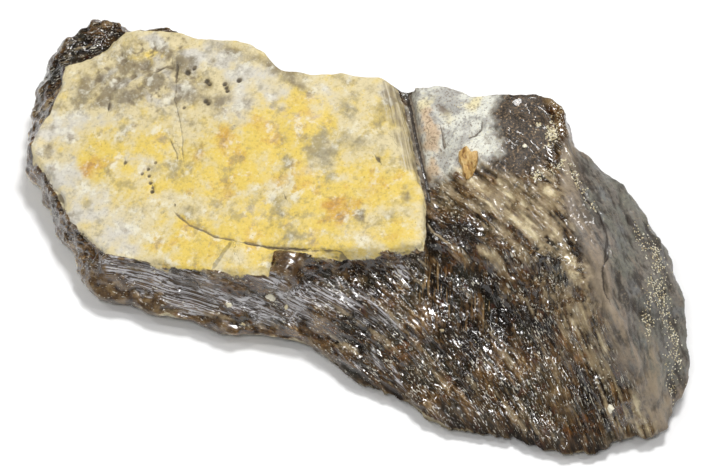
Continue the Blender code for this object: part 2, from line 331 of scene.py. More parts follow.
# Each stain: x, y, half length and, where they differ from the plain round one, strength, stretch, turn.
STAINS: dict[Tint, tuple[tuple[float, ...], ...]] = {
    Tint.YELLOW: (
        (-32, -0.5, 3.6, 0.8), (-38.5, -3.5, 4, 0.8), (-18, 0.5, 6), (-12.5, 6, 6.5), (-1, -3.5, 6.5, 1.1),
        (10, -5.5, 3), (-11, -9.5, 5.5), (-19.5, -13.5, 5, 0.9), (-34, -7, 4, 0.6), (6, 1.5, 4.5, 0.9),
        (0.5, 12, 3, 0.4), (-38, 14, 1.8), (6.3, 15.7, 1.6, 0.9), (13.4, 17.6, 1.9, 1, 1.4, 80),
        (10.5, 14.5, 1.5, 0.6), (-24.5, -4.5, 5, 0.7), (-3, -14, 3, 0.9), (-8, 10, 3, 0.8),
    ),
    Tint.ORANGE: (
        (-20.8, 3.3, 2.2), (-0.5, -3.5, 2.6, 1.2), (-18.2, -4, 2.4, 0.8), (-7, 0.4, 2, 0.8),
        (-12, 10.8, 3, 0.7, 2), (-39.5, -5.8, 2, 0.9), (-17, 6, 3, 0.8, 1.6, -20), (5, 2.4, 1.2, 0.9),
        (4.5, -0.5, 2.4, 0.7), (-11, -1, 2.4, 0.7, 1.5, 30), (2.5, -2, 1.6), (-24, -0.5, 1.5, 0.7),
        (-1, -11.8, 2, 0.8, 2),
    ),
    Tint.GREY: (
        (-6.2, 4.8, 3.2, 1.6, 1.2, -20), (-5.4, 12.5, 2.4, 0.9, 1.5, -30), (-2, 7.2, 3.2, 1, 2, -5),
        (-10.4, 1.5, 1.6, 1, 1.8, 80), (-9, -5, 2, 0.9), (-3.2, 1, 1.3, 1.1), (3.5, -4.5, 1.8, 0.9),
        (-30.5, -12, 2, 0.6), (-22, -9, 2.2, 0.9, 1.6), (0.5, 13, 2.4, 0.8), (1, 6.5, 3, 0.7),
        (-5, -9, 2.2, 1.2, 2), (-26.5, -3, 2.4, 0.9), (9, 16.7, 2.6, 1.1), (14.5, 11.5, 1.7),
        (12.6, 8.6, 1.5, 0.8), (-37, 1, 2.2, 0.6), (-13, -5, 1.6, 0.7), (8, -3, 1.6, 0.8),
    ),
    Tint.PALE: (
        (-48.5, -1.5, 3.6, 1.2), (-43.5, -8, 4, 1.2), (-38, -13, 4, 1.1), (-31.5, -15.5, 4),
        (-31.5, 14.6, 2.8, 1.4, 1.6), (-26.5, 15.6, 3.4, 1.2, 2), (-36, 8.5, 9, 0.45),
        (-40, 8.8, 3.4, 1.1, 4, 35), (-35, 6.8, 3.4, 1, 4, -25), (-38.5, 16.2, 3, 1.1, 2),
        (-43.5, 9.5, 2, 0.9, 3, 60), (-34.5, 11.3, 2.6, 1, 4, -40), (-45, 0.5, 3, 0.8),
        (-31, 9, 3.5, 0.9, 2, -20), (-36.5, 12.8, 3, 0.9, 2, -40), (-29.5, 17, 3.4, 0.9, 2.5),
        (-22, 9.5, 3.5, 0.9), (-17, 11.8, 4, 0.9, 1.5, -10), (-22, 13.8, 5, 1.1, 3, 10),
        (-9, 14.4, 3, 0.8, 3, -10), (0, 16.2, 2.6, 0.8), (-21, 6.5, 3.5, 0.7, 2), (-33, -3.5, 3.5, 0.6),
        (-41, 1.5, 3, 0.8, 2, 20), (15.5, 17.2, 2.4, 1.1), (17.2, 11.8, 2.2, 1.1), (12, 14, 2, 0.7),
        (-3.5, 3, 1.6, 0.5), (9.7, 8.7, 3.2, 1.4, 4.5, -58), (-8, 12, 5, 0.6, 2), (-14, 8, 4, 0.4, 1.5, 20),
        (3, -6.5, 4, 0.5, 2), (-12, -7, 5, 0.5, 2, 10), (-4, -7, 3, 0.4),
    ),
    Tint.TAUPE: (
        (-41, 8.6, 7, 0.8), (-33, 10, 6, 0.7), (-27, 8.5, 4.5, 0.75), (-46, 6.5, 3), (-40, 14, 3.5, 0.7),
        (-36, 14.5, 1.6, 1.2), (-38, 11.5, 1.4, 1.3), (-30, 8.5, 1.5, 1.1), (-38.5, 6.6, 3, 1.3, 1.8, 20),
        (-35.5, 9.5, 2, 1.4), (-41.5, 11.2, 2, 1.4), (-42.5, 5.5, 2.2, 1.3), (-32.8, 13, 2, 1.3),
        (-24.5, 8.8, 2.2, 1.2), (-49, 3, 2.4, 0.9, 3, 20), (-48, -4.5, 1.5, 0.9), (-22, 16.5, 6, 0.9, 3, 5),
        (-15, 14.4, 4, 1.2, 3, -20), (-4, 16.6, 5, 0.7, 4, -10), (-25.5, 0.5, 2, 0.5),
        (4, -4, 1.6, 1, 2, -60), (-34, 15, 3, 0.6), (-30, 4.5, 3, 0.5), (-20.5, 9, 2, 0.6),
        (-44, 13, 3, 0.7), (9, 11.3, 2.6, 1.3, 2, -55), (7.6, 13.5, 2.4, 1.1, 2, -58),
        (-36.5, -0.5, 1.8, 0.5), (11, 7.2, 2.2, 1, 2, -50), (-18, 16, 5, 1.1, 4, -5),
        (-26.5, 17.2, 3.5, 1, 3), (-1.6, -5.2, 0.9, 0.8, 2, -30), (-29, -10.5, 2.2, 0.5),
        (-37, -8, 2.2, 0.4),
    ),
    Tint.STRIP: ((5, 11.6, 9, 1.3, 4.6, -58), (2, 15, 4, 1, 1.6, -58)),
    Tint.GOLD: (
        (14, 5.6, 4, 0.9, 3, -48), (18, 5.5, 7, 1, 3, -30), (24, 3.2, 8, 1, 3.4, -30),
        (28.5, 1, 6, 0.9, 3, -34), (12.5, 7.5, 3, 0.8, 2, -45), (33, 1.5, 6, 0.75, 2, -44),
        (38.5, -4.5, 8, 0.6, 3, -48), (44.5, -10.5, 7, 0.6, 3, -45), (22.5, 7.2, 5, 0.8, 1.6, -20),
        (53, -10.5, 6, 0.8, 1.2), (50, -6, 4, 0.5, 2, -50), (29.5, 6, 4, 0.7, 1.2, -40),
        (24.5, -2.8, 3, 0.8, 4, -20),
    ),
    Tint.SILVER: (
        (-29, -19.8, 6.5, 1.3, 4.5, 3), (-19, -19.4, 7.5, 1.3, 4.5, 3), (-9.5, -18.2, 7, 1.15, 4.5, 8),
        (-2, -15.8, 5, 1.1, 2.8, 8), (3.5, -14, 6.5, 0.85, 3.2, -2), (11.5, -14.4, 6.5, 0.75, 4, -16),
        (-24, -18.2, 6, 0.8, 6, 4), (19, -15.5, 5, 0.45, 4, -35), (12, -8.2, 1.1, 1.7),
        (11.9, -18.6, 2.5, 0.9, 5, -40), (15.4, -19.4, 2.8, 0.9, 6, -40), (9, -19.5, 2.5, 0.7, 6, -40),
    ),
    Tint.RESIN: (
        (-33, -20.9, 3, 1.4, 1.8, -20), (-28.5, -21.9, 4, 1.4, 2.4), (-23, -21.6, 2.5, 1, 2),
        (-4, -13, 2.8, 1.3, 1.2, 80), (27.8, 18, 2, 1.5, 1.2, -60), (28.6, 15.2, 1.5), (24.3, 20.4, 1.6),
        (-41, -13.8, 2.2, 0.8, 2, -35), (-13, -21.5, 4, 0.8, 3), (3, -19.5, 4, 0.8, 2.4, -10),
        (27, -5, 2.4, 0.8, 2, -50), (-45.5, -10, 1.8, 0.7), (41, -16, 4, 0.6, 2, -30),
        (4, -10.8, 4, 0.8, 4), (20, -21.5, 4, 0.7, 3, -20),
    ),
    Tint.AMBER: (
        (27.5, -4.8, 1.8, 1.1, 2, -60), (18.3, -4.5, 1.6, 0.8), (41.4, -10.6, 1.5), (37.9, -10.5, 1.6, 0.7),
        (45, -17.9, 2.4, 0.9), (42.3, -19.2, 2, 0.9), (15.5, -17.4, 2, 0.8), (27.6, 18.3, 2, 1.6),
        (24.3, 20, 1.8, 1.2), (28.4, 15.5, 1.6, 1.2), (-29, -21.5, 4, 0.9, 2), (-11, -20, 3, 0.6),
        (5, -19, 2.5, 0.7), (43.5, -9.5, 2, 0.7), (-4.5, -13, 3, 1.1), (2.5, -10.5, 3, 0.7, 3),
        (-50.5, -3, 2, 0.4), (30, -12, 2.5, 0.4),
    ),
    # Darker places; the long band at x 5, y -11 is painted shade under the plateau's overhang.
    Tint.BLACK: (
        (32, -1.8, 1.8, 0.9), (16.5, -8.5, 2), (34.8, -3.1, 1.8, 0.9), (18.6, -1.4, 2.5, 0.9),
        (26, -7, 3.5), (20, -8, 3, 0.9), (5, -11, 6, 0.9, 4, -3), (24, -12, 3, 0.8),
        (31.5, -8.5, 3, 0.8, 2, -20), (-49.3, 14.7, 3, 0.7), (14.5, -3, 2, 0.9), (44.5, -13.5, 2.5, 0.5),
        (-53.5, 10, 3, 0.6), (9.5, -16.5, 3, 0.6), (14.5, 8.6, 1),
    ),
    Tint.GLINT: (
        (36.3, -17.5, 5), (38.9, -12.7, 4.5), (45.1, -12.7, 4), (29, -18.5, 5), (34.7, -9.9, 3),
        (28, -3, 4), (21.5, -19.5, 4.5), (34.6, -5.5, 3.5), (12, -8.2, 2.5), (13.5, -19, 3.5),
        (-49.3, 14, 4, 0.8), (-53, 9, 3.5, 0.7), (-44.5, -10.5, 3.5, 0.7), (5, -19, 3.5, 0.8),
        (47, -15, 4, 0.8), (16, 3, 5, 0.7, 2, -30), (27.5, 17.5, 2, 0.8),
    ),
}


@dataclass
class Layout:
    """Where each kind of bone lies, in plan."""

    rim: tuple[Place, ...] = (
        (-49.5, -6.5), (-46.5, -8), (-42, -12), (-39.5, -14.5), (-37, -16), (-31.5, -18.5), (-23, -18),
        (-19, -17.5), (-15, -17), (-7, -15.5), (-3, -15), (-1.5, -11.5), (1, -10.5), (3, -10), (8, -8.5),
        (10.5, -7.5), (14.5, -6), (14.2, -4), (12.4, 0.5), (8.6, 6.7), (5.7, 11.3), (2.8, 15.8), (1, 18),
        (-2, 19.5), (-8.5, 18.5), (-13, 18), (-17, 18), (-21, 19.5), (-25.5, 20.5), (-30.5, 19.5),
        (-39.5, 17.5), (-44, 17), (-45.5, 15), (-46.5, 12.5), (-48.5, 11), (-51, 9.5), (-50.5, 6),
        (-50, 1.5), (-50.5, -0.5), (-50.5, -4.5),
    )
    patch: tuple[Place, ...] = (
        (2.8, 17.8), (7.5, 19.5), (12, 20.5), (17, 20), (16.5, 16), (18, 14), (19.5, 12.5), (20.5, 10.5),
        (18.5, 9), (16, 8.5), (14, 6.5), (12, 5.5), (10.5, 5), (8.5, 7.5), (6.5, 10.5), (4.5, 14),
    )
    block_dark: tuple[Place, ...] = (
        (16.5, 20.5), (16.5, 16), (18, 14), (20, 12.5), (20.5, 10.5), (19, 8), (24, 8), (26.5, 10),
        (27, 13.5), (26, 16.5), (24.5, 18.5), (22.5, 22),
    )
    flank: tuple[Place, ...] = (
        (28, 20), (29, 12), (30.5, 8), (33, 4), (36.5, 0), (39.5, -4), (43, -8), (47, -11), (52, -13),
        (60, -15), (60, 22),
    )
    chip: tuple[Place, ...] = ((-7.0, -11.5), (-1.0, -11.0), (-1.5, -17.0), (-6.0, -17.0))
    canals: tuple[Place, ...] = (
        (15, -5), (26, -3), (29.5, -9.5), (25, -12), (19, -13.5), (14, -9),
    )
    pits: tuple[tuple[float, float, float], ...] = (
        (-30.9, -4.2, 0.3), (-30.3, -5.2, 0.28), (-31.5, -5.1, 0.25), (-29.6, -6.2, 0.34),
        (-28.8, -7.4, 0.42), (-30.2, -3, 0.22), (-29, -6.8, 0.3), (-27.8, 11.5, 0.5), (-27.2, 11.1, 0.4),
        (-24.9, 11.6, 0.45), (-24.4, 11.1, 0.45), (-24, 10.6, 0.4), (-22.9, 12.6, 0.5), (-31.3, 12.2, 0.6),
        (-29.5, 6.5, 0.25), (-30.6, 13, 0.4), (-26.6, 8.3, 0.5), (-26.1, 8, 0.4),
    )
    outer_height: float = 18.3
    outer_rise: Place = (0.213, 0.15)
    outer_thickness: float = 3.0
    floors: dict[str, float] = field(
        default_factory=lambda: {"patch": 19.0, "block_dark": 20.0, "flank": 2.0, "canals": 6.0}
    )
    cracks: tuple[Crack, ...] = (
        Crack(
            ((-34.5, 15.5), (-33.5, 13), (-33, 11.5), (-32, 9.5), (-31.5, 7.5), (-30, 5.5),
             (-29, 4), (-27.5, 1.5), (-27, 0), (-25.5, -2.5)),
            0.05, 0.12, 0.35,
        ),
        Crack(((-33.8, 13.8), (-33, 11.8), (-32.4, 10.8)), 0.3, 0.25, 0.6, 0.4),
        Crack(((-29.5, 1.2), (-28.5, 0.1), (-27.5, -0.8), (-26.9, -1.8)), 0.06, 0.12, 0.5),
        Crack(((-36.8, 10.8), (-35, 12.4), (-33.4, 12.2)), 0.06, 0.2, 0.4),
        Crack(
            ((-24.5, -9.5), (-23, -10.3), (-21, -11.2), (-18.5, -11.5), (-16.5, -12),
             (-12.5, -11.8)),
            0.08, 0.25, 0.3,
        ),
        Crack(
            ((-12.5, -11.8), (-10, -11.4), (-7.5, -11.2), (-4.5, -10.8), (-1.5, -10.4)),
            0.08, 0.35, 0.7,
        ),
        Crack(((-13.6, -11.9), (-14.2, -14), (-14.8, -17)), 0.28, 0.12, 0.4),
        Crack(
            ((30, 12.5), (32.5, 9.7), (35, 7.5), (37.5, 6.2), (39, 4.2), (40, 2.6), (41, 0),
             (41, -2.5), (42.3, -4.9), (43.3, -6.1), (44, -6.8)),
            0.1, 0.35, 0.75,
        ),
        Crack(
            ((2.4, 18.2), (2.9, 17.4), (4.6, 14.7), (6.4, 11.6), (7.8, 9.5), (9.1, 7.6), (10.7, 5.2),
             (12.5, 2)),
            0.23, 0.35, 0.92, 0.02,
        ),
        Crack(((15.8, 14.6), (16.2, 13.4), (15.6, 12.4), (14.6, 11.6)), 0.1, 0.2, 0.6),
        Crack(((9.8, 13), (10.8, 11.4), (11.8, 9.8)), 0.08, 0.2, 0.6),
        Crack(((-41.5, 5.2), (-41, 3.4)), 0.12, 0.2, 0.6, 0.4),
        Crack(((-35, -3.5), (-34.6, -4.6)), 0.22, 0.25, 0.5, 0.5),
        Crack(((-9, -3), (-8, -4)), 0.12, 0.15, 0.5, 0.5),
        Crack(((1.8, 6.2), (3.8, 4.8)), 0.2, 0.2, 0.5, 0.5),
    )

    def zones(self, points: np.ndarray) -> dict[str, np.ndarray]:
        """Signed distance into each kind of bone, positive inside, on the upper side only.

        Args:
            points: places in the bone's frame, one row each.

        Returns:
            One field for each kind of bone.
        """
        x, y, z = points.T
        plane = self.outer_height + self.outer_rise[0] * x + self.outer_rise[1] * y
        outer = np.minimum(outline_distance(points, self.rim), z - plane + self.outer_thickness)
        zones = {"outer": np.minimum(outer, -outline_distance(points, self.chip))}
        for name, floor in self.floors.items():
            zones[name] = np.minimum(outline_distance(points, getattr(self, name)), z - floor)
        return zones

    def tints(self, points: np.ndarray) -> dict[str, np.ndarray]:
        """How strongly each stain colours each place; the black field also gets painted shade near the table.

        Args:
            points: places in the bone's frame, one row each.

        Returns:
            One field from 0 to about 1 for each tint.
        """
        fields = {tint.value: np.zeros(len(points)) for tint in Tint}
        drift = np.stack([rough_field(points / 2.3 + start, 4) for start in (11.0, 47.0)], axis=1)
        for tint, ovals in STAINS.items():
            for x, y, *rest in ovals:
                share = Stain((x, y), *rest).share(points, drift)
                fields[tint.value] = np.maximum(fields[tint.value], share)
        dark = Tint.BLACK.value
        # Painted shade: the black field is raised over the lowest 3 mm, by the table.
        fields[dark] = np.maximum(fields[dark], 1.2 * eased(3.0, 1.0, points[:, 2]))
        return fields

    def crack_fields(self, points: np.ndarray) -> tuple[np.ndarray, ...]:
        """The nearest crack at each place.

        Args:
            points: places in the bone's frame, one row each.

        Returns:
            Signed distance to it, its half width there, how deep it cuts there, and how dark it is.
        """
        fields = [np.full(len(points), 9.0), *np.zeros((3, len(points)))]
        for crack in self.cracks:
            distance, along = line_offset(points, crack.line)
            strength = crack.strength(along)
            nearer = (distance, crack.half_width * strength, crack.depth * strength, crack.tone)
            closer = np.abs(distance) < np.abs(fields[0])
            fields = [np.where(closer, new, old) for new, old in zip(nearer, fields)]
        return tuple(fields)


@dataclass
class BoneSkin:
    """The visible surface of the bone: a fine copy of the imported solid, with its relief."""

    layout: Layout
    grain: Grain
    voxel: float = 0.27
    smoothing: int = 5
    triangles: int = 190000
    underside_weight: float = 0.75
    splinter_height: float = 0.34
    chip_height: float = 0.42
    weathered_height: float = 0.42
    pit_depth: float = 0.5
    step_depth: float = 0.4
    crack_lip: float = 0.2
    inset: float = 0.06
    piece: bpy.types.Object = field(init=False)

    def build(self) -> bpy.types.Object:
        """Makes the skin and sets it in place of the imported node.

        Returns:
            The finished object.
        """
        self.piece = self.copy_of_node()
        self.remesh()
        self.smooth()
        self.raise_relief()
        self.thin()
        self.write_fields()
        self.piece.data.shade_smooth()
        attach(self.piece, "root")
        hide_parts(NODE)
        log.info("%s: %d faces", self.piece.name, len(self.piece.data.polygons))
        return self.piece

    def copy_of_node(self) -> bpy.types.Object:
        """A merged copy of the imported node's mesh, as a new object."""
        mesh = bmesh.new()
        mesh.from_mesh(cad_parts[NODE].data)
        bmesh.ops.remove_doubles(mesh, verts=mesh.verts, dist=1e-4 * MM)
        return piece_from(mesh, "bone_skin")

    def apply_modifiers(self) -> None:
        """Turns what the modifiers make into the skin's own mesh."""
        graph = bpy.context.evaluated_depsgraph_get()
        done = bpy.data.meshes.new_from_object(self.piece.evaluated_get(graph))
        self.piece.modifiers.clear()
        self.piece.data = done

    def remesh(self) -> None:
        """Covers the facets with small even quads."""
        skin = self.piece.modifiers.new("even_skin", "REMESH")
        skin.mode = "VOXEL"
        skin.voxel_size = self.voxel * MM
        self.apply_modifiers()

    def smooth(self) -> None:
        """Softens the facets of the solid."""
        mesh = bmesh.new()
        mesh.from_mesh(self.piece.data)
        for _ in range(self.smoothing):
            bmesh.ops.smooth_vert(
                mesh, verts=mesh.verts, factor=0.5, use_axis_x=True, use_axis_y=True, use_axis_z=True
            )
        mesh.to_mesh(self.piece.data)
        mesh.free()

    def thin(self) -> None:
        """Merges faces where the skin is plain, most of all underneath, down to the triangles allowed."""
        points = self.points()
        normals = self.normals()
        group = self.piece.vertex_groups.new(name="detail")
        low = (normals[:, 2] < -0.3) & (points[:, 2] < 8.0)
        group.add(np.flatnonzero(~low).tolist(), 1.0, "REPLACE")
        group.add(np.flatnonzero(low).tolist(), 1.0 - self.underside_weight, "REPLACE")
        thin = self.piece.modifiers.new("thin", "DECIMATE")
        thin.ratio = self.triangles / (2.0 * len(self.piece.data.polygons))
        thin.vertex_group = group.name
        thin.vertex_group_factor = 0.6
        thin.invert_vertex_group = True
        self.apply_modifiers()
        self.piece.vertex_groups.clear()
        faces = self.piece.data.polygons
        sides = np.empty(len(faces), np.int32)
        faces.foreach_get("loop_total", sides)
        even = self.piece.modifiers.new("even", "DECIMATE")
        even.ratio = min(1.0, self.triangles / float((sides - 2).sum()))
        self.apply_modifiers()
        self.set_points(self.points())

    def vectors(self, items: bpy.types.bpy_prop_collection, name: str) -> np.ndarray:
        """A vector that each vertex holds, one row each."""
        flat = np.empty(len(items) * 3)
        items.foreach_get(name, flat)
        return flat.reshape(-1, 3)

    def points(self) -> np.ndarray:
        """The skin's vertices in the layout's millimetres, one row each."""
        return self.vectors(self.piece.data.vertices, "co") / MM - LAYOUT_ORIGIN

    def normals(self) -> np.ndarray:
        """The skin's vertex normals, one row each."""
        return self.vectors(self.piece.data.vertex_normals, "vector")

    def set_points(self, points: np.ndarray) -> None:
        """Moves the vertices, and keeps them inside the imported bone's box."""
        low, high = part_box(NODE)
        inside = np.clip((points + LAYOUT_ORIGIN) * MM, np.array(low), np.array(high))
        self.piece.data.vertices.foreach_set("co", inside.ravel())
        self.piece.data.update()

    def raise_relief(self) -> None:
        """Gives the broken bone its splinters and chips, and cuts the cracks."""
        points = self.points()
        normals = self.normals()
        grain = self.grain.coordinates(points)
        zones = self.layout.zones(points)
        outer = eased(-0.5, 0.5, zones["outer"])
        patch = eased(-0.6, 0.8, np.maximum(zones["patch"], zones["block_dark"]))
        smooth_bone = np.maximum(outer, 0.85 * patch)
        flank = eased(-1.0, 1.5, zones["flank"])
        splinters = ridged_field(grain / (11.0, 1.9, 2.3), 4)
        chips = chip_field(grain / (3.4, 1.6, 1.9))
        fine = 1.4 * chip_field(grain / (1.3, 0.62, 0.7)) + rough_field(grain / (1.6, 0.6, 0.7), 2)
        vigour = 0.35 + 1.3 * eased(-0.4, 0.5, rough_field(points / 6.0 + 20.0, 2))
        broken = self.splinter_height * splinters + vigour * self.chip_height * chips + 0.1 * fine
        resin = eased(0.3, 0.8, self.layout.tints(points)[Tint.RESIN.value])
        lobes = 0.45 * rough_field(points / 2.2 + 60.0, 2) + 0.1
        broken = resin * lobes + (1.0 - resin) * broken
        left = eased(-43.0, -47.0, points[:, 0] - 0.25 * points[:, 1])
        knobs = 0.5 * chip_field(points / 2.4) + 0.3 * rough_field(points / 1.5, 2)
        broken = left * knobs + (1.0 - left) * broken
        stripes = points @ np.array(((0.8, 0.6, 0.0), (-0.6, 0.8, 0.0), (0.0, 0.0, 1.0))).T
        worn = 0.42 * rough_field(stripes / (2.0, 8.0, 5.0), 3) + 0.22 * rough_field(points / 2.0, 4)
        swell = 0.1 * rough_field(points / 4.0, 4) + 0.03 * rough_field(points / 0.9, 2)
        moved = flank * worn + (1.0 - flank) * broken
        moved = smooth_bone * swell + (1.0 - smooth_bone) * moved
        offset, width, cut, _ = self.layout.crack_fields(points)
        weathered = eased(15.0, 6.0, np.hypot(points[:, 0] + 38.0, 1.6 * (points[:, 1] - 11.0))) * outer
        moved += weathered * self.weathered_height * rough_field(points / 2.1 + 5.0, 4)
        moved -= self.pits(points) * outer
        moved -= cut * np.exp(-((offset / (width + self.crack_lip)) ** 2))
        moved -= self.step_depth * self.step_strip(points) * outer
        self.set_points(points + normals * (moved - self.inset)[:, None])

    def pits(self, points: np.ndarray) -> np.ndarray:
        """Depth of the vessel pits in the outer bone.

        Args:
            points: the skin's vertices.

        Returns:
            One depth for each vertex, in millimetres.
        """
        depth = np.zeros(len(points))
        for x, y, radius in self.layout.pits:
            away = np.hypot(points[:, 0] - x, points[:, 1] - y) / radius
            depth = np.maximum(depth, self.pit_depth * np.exp(-(away**2)))
        return depth

    def step_strip(self, points: np.ndarray) -> np.ndarray:
        """The strip in front of the long crack, which lies a little lower towards the chip."""
        line = self.layout.cracks[4].line + self.layout.cracks[5].line[1:]
        offset, along = line_offset(points, line)
        return eased(0.0, -0.35, offset) * eased(0.45, 0.9, along)

    def write_fields(self) -> None:
        """Stores on each vertex which kind of bone it is, and its stains, cracks and hollows."""
        points = self.points()
        offset, width, _, tone = self.layout.crack_fields(points)
        fields = {
            **self.layout.zones(points),
            **self.layout.tints(points),
            "crack_offset": offset,
            "crack_width": width,
            "crack_tone": tone,
            # Hollowness sets painted shade in hollows, and on split bone painted light on ridges.
            "hollowness": self.hollowness(points),
            "pit": self.pits(points),
            # How near the table each vertex lies; it sets the painted shade at the foot.
            "foot": eased(4.2, 1.6, points[:, 2]),
        }
        for name, values in fields.items():
            layer = self.piece.data.attributes.new(name, "FLOAT", "POINT")
            layer.data.foreach_set("value", values.astype(np.float32))
        layer = self.piece.data.attributes.new("grain", "FLOAT_VECTOR", "POINT")
        layer.data.foreach_set("vector", self.grain.coordinates(points).astype(np.float32).ravel())

    def hollowness(self, points: np.ndarray) -> np.ndarray:
        """How far each vertex lies below its neighbourhood's mean, in millimetres.

        Args:
            points: the skin's vertices.

        Returns:
            One value for each vertex, positive in hollows and negative on ridges.
        """
        mesh = self.piece.data
        ends = np.empty(len(mesh.edges) * 2, np.int64)
        mesh.edges.foreach_get("vertices", ends)
        ends = ends.reshape(-1, 2)
        count = np.bincount(ends.ravel(), minlength=len(points)).astype(float)[:, None]
        mean = points.copy()
        for _ in range(14):
            total = np.zeros_like(mean)
            for k in range(3):
                total[:, k] = np.bincount(ends[:, 0], mean[ends[:, 1], k], len(points))
                total[:, k] += np.bincount(ends[:, 1], mean[ends[:, 0], k], len(points))
            mean = 0.5 * mean + 0.5 * total / count
        return np.einsum("ij,ij->i", mean - points, self.normals())


@dataclass
class Graph:
    """Adds nodes to a shader tree and links them, so that a finish reads as a list of steps."""

    tree: bpy.types.NodeTree

    def add(self, kind: str, **settings: object) -> bpy.types.Node:
        """Adds a shader node with the given settings."""
        node = self.tree.nodes.new("ShaderNode" + kind)
        for name, value in settings.items():
            setattr(node, name, value)
        return node

    def feed(self, target: Socket, source: object) -> None:
        """Links a socket to another, or sets its value."""
        if isinstance(source, bpy.types.NodeSocket):
            self.tree.links.new(source, target)
        else:
            target.default_value = source

    def field(self, name: str) -> Socket:
        """A field stored on the piece, as a number."""
        return self.add("Attribute", attribute_name=name).outputs["Fac"]

    def grain(self) -> Socket:
        """The place in the bone's grain, in millimetres."""
        return self.add("Attribute", attribute_name="grain").outputs["Vector"]

    def place(self) -> Socket:
        """The place on the object, in millimetres."""
        return self.sized(self.add("TexCoord").outputs["Object"], MM)

    def vector(self, operation: str, a: object, b: object = (0.0, 0.0, 0.0)) -> Socket:
        """One sum on two vectors."""
        node = self.add("VectorMath", operation=operation)
        self.feed(node.inputs[0], a)
        self.feed(node.inputs[1], b)
        return node.outputs[0]

    def sized(self, vector: Socket, size: object) -> Socket:
        """A place measured in lumps of a size, or of three sizes, in millimetres."""
        sizes = size if isinstance(size, tuple) else (size, size, size)
        return self.vector("MULTIPLY", vector, tuple(1.0 / s for s in sizes))

    def turned(self, vector: Socket, degrees: float) -> Socket:
        """A place turned about the upright axis."""
        node = self.add("Mapping")
        self.feed(node.inputs["Vector"], vector)
        node.inputs["Rotation"].default_value = (0.0, 0.0, math.radians(degrees))
        return node.outputs[0]

    def shifted(self, vector: Socket, amount: Socket) -> Socket:
        """A place moved by an amount along its second and third axes."""
        offset = self.add("CombineXYZ")
        self.feed(offset.inputs[1], amount)
        self.feed(offset.inputs[2], amount)
        return self.vector("ADD", vector, offset.outputs[0])

    def math(self, operation: str, a: object, b: object = 0.0) -> Socket:
        """One sum on two numbers."""
        node = self.add("Math", operation=operation)
        self.feed(node.inputs[0], a)
        self.feed(node.inputs[1], b)
        return node.outputs[0]

    def times(self, *factors: object) -> Socket:
        """The product of several numbers."""
        product = factors[0]
        for factor in factors[1:]:
            product = self.math("MULTIPLY", product, factor)
        return product

    def plus(self, *terms: object) -> Socket:
        """The sum of several numbers."""
        total = terms[0]
        for term in terms[1:]:
            total = self.math("ADD", total, term)
        return total

    def centred(self, value: Socket, amount: float) -> Socket:
        """A value from 0 to 1 turned into one about zero, times an amount."""
        return self.math("MULTIPLY", self.math("SUBTRACT", value, 0.5), amount)

    def eased(self, value: Socket, low: float, high: float) -> Socket:
        """0 at low, 1 at high, eased between."""
        node = self.add("MapRange", interpolation_type="SMOOTHSTEP")
        self.feed(node.inputs["Value"], value)
        node.inputs["From Min"].default_value = min(low, high)
        node.inputs["From Max"].default_value = max(low, high)
        result = node.outputs["Result"]
        return result if low < high else self.math("SUBTRACT", 1.0, result)

    def noise(self, vector: Socket, size: object, detail: float = 2.0, rough: float = 0.5) -> Socket:
        """Noise from 0 to 1, its lumps as large as the size given, in millimetres."""
        node = self.add("TexNoise")
        self.feed(node.inputs["Vector"], self.sized(vector, size))
        node.inputs["Scale"].default_value = 1.0
        node.inputs["Detail"].default_value = detail
        node.inputs["Roughness"].default_value = rough
        return node.outputs["Fac"]

    def cells(self, vector: Socket, size: object) -> bpy.types.Node:
        """Random cells as large as the size given, in millimetres."""
        node = self.add("TexVoronoi")
        self.feed(node.inputs["Vector"], self.sized(vector, size))
        node.inputs["Scale"].default_value = 1.0
        return node

    def blend(self, share: object, a: object, b: object) -> Socket:
        """Colour a where the share is 0 and b where it is 1."""
        node = self.add("Mix", data_type="RGBA")
        self.feed(node.inputs[0], share)
        self.feed(node.inputs[6], a)
        self.feed(node.inputs[7], b)
        return node.outputs[2]

    def over(self, base: Socket, *layers: tuple[object, ...]) -> Socket:
        """A base colour with layers over it in order, each a tone and the shares that multiply up."""
        for tone, *shares in layers:
            base = self.blend(self.times(*shares), base, tone)
        return base

    def level(self, share: object, a: object, b: object) -> Socket:
        """Number a where the share is 0 and b where it is 1."""
        node = self.add("Mix", data_type="FLOAT")
        self.feed(node.inputs[0], share)
        self.feed(node.inputs[2], a)
        self.feed(node.inputs[3], b)
        return node.outputs[0]

    def ramp(self, value: Socket, stops: tuple[tuple[float, tuple], ...]) -> Socket:
        """Colours along a ramp."""
        node = self.add("ValToRGB")
        self.feed(node.inputs["Fac"], value)
        elements = node.color_ramp.elements
        while len(elements) < len(stops):
            elements.new(0.5)
        for element, (position, colour) in zip(elements, stops):
            element.position = position
            element.color = colour
        return node.outputs["Color"]


def new_material(name: str) -> tuple[bpy.types.Material, Graph, bpy.types.Node]:
    """A new material, with a graph on its tree and its shader."""
    material = bpy.data.materials.new(name)
    material.use_nodes = True
    return material, Graph(material.node_tree), material.node_tree.nodes["Principled BSDF"]


